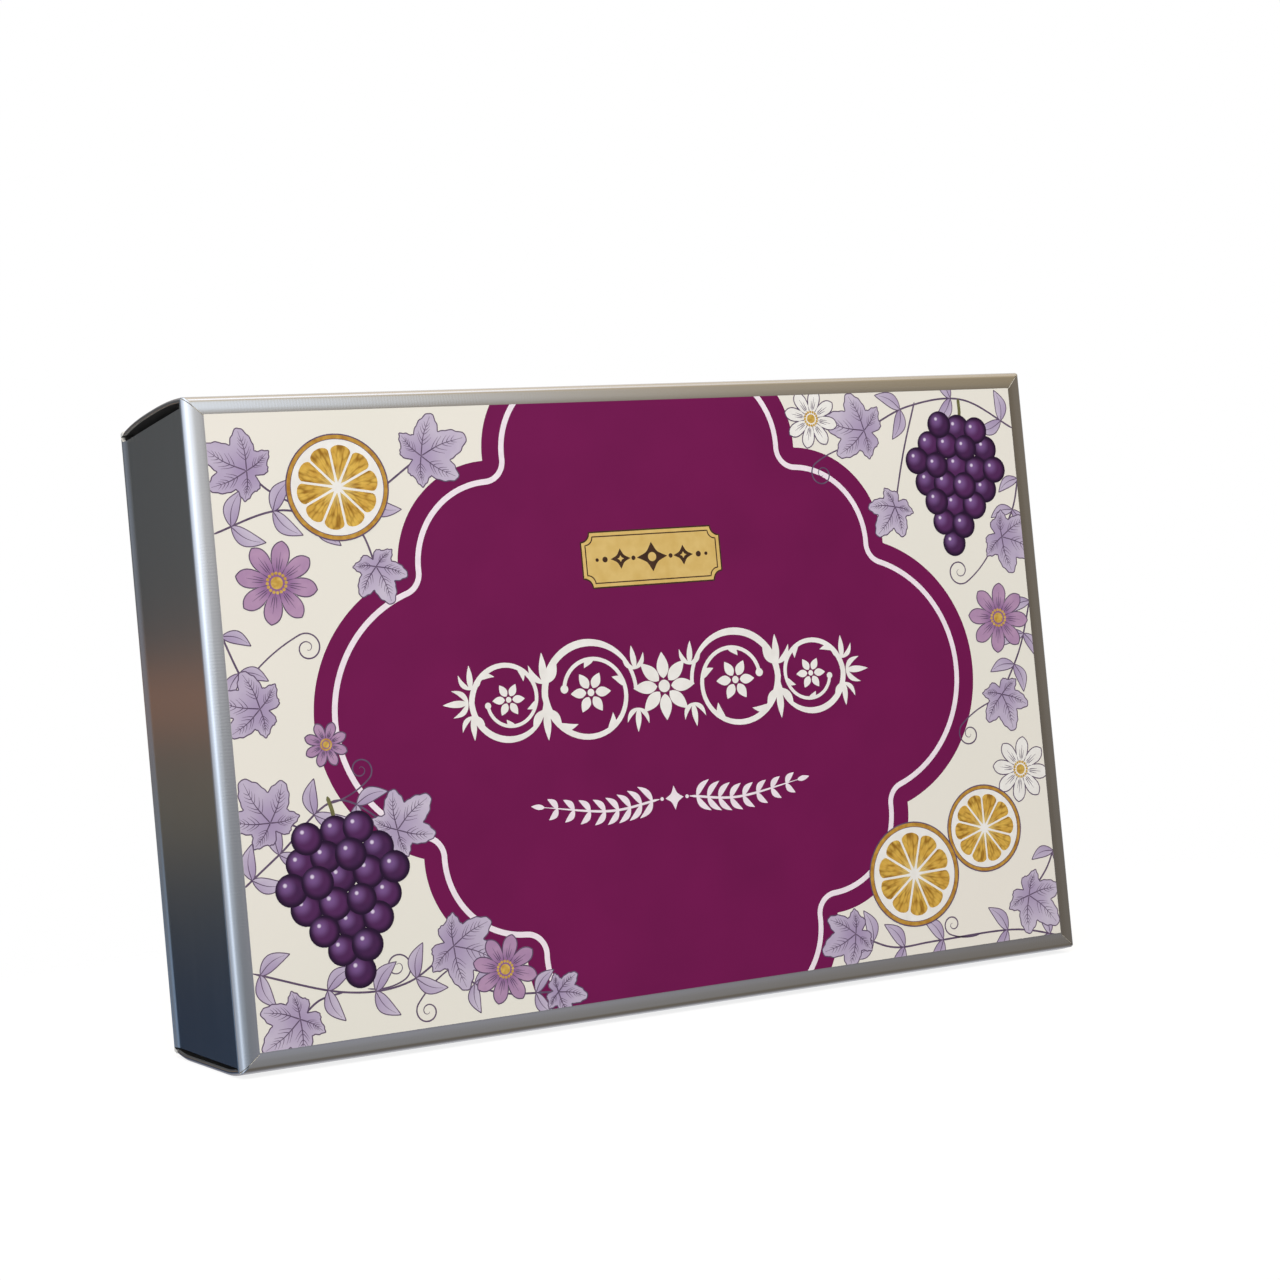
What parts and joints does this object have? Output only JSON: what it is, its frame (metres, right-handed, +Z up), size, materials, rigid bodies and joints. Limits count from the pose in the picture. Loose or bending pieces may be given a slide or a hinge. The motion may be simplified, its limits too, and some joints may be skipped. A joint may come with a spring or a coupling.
{
  "type": "fruit gift box",
  "caption": "Flat upright gift box for fruit: a deep lid of silver-faced card with a bevelled edge and a printed face, slipped over a folded card base.",
  "frame": {"origin": "on the ground under the middle of the box as it stands on one long wall, midway between the printed face and the base's floor", "axes": "+Z up, +X along the box's length, to the right of someone facing the print, +Y into the box, from the printed face to the base's floor"},
  "size_m": [0.385, 0.104, 0.2644],
  "materials": {
    "silver_card": "satin",
    "base_card": "satin",
    "printed_paper": "matte",
    "gold_foil": "satin"
  },
  "bodies": {
    "root": {"lid": "silver_card", "base": "base_card", "printed_sheet": "printed_paper"}
  },
  "joints": []
}
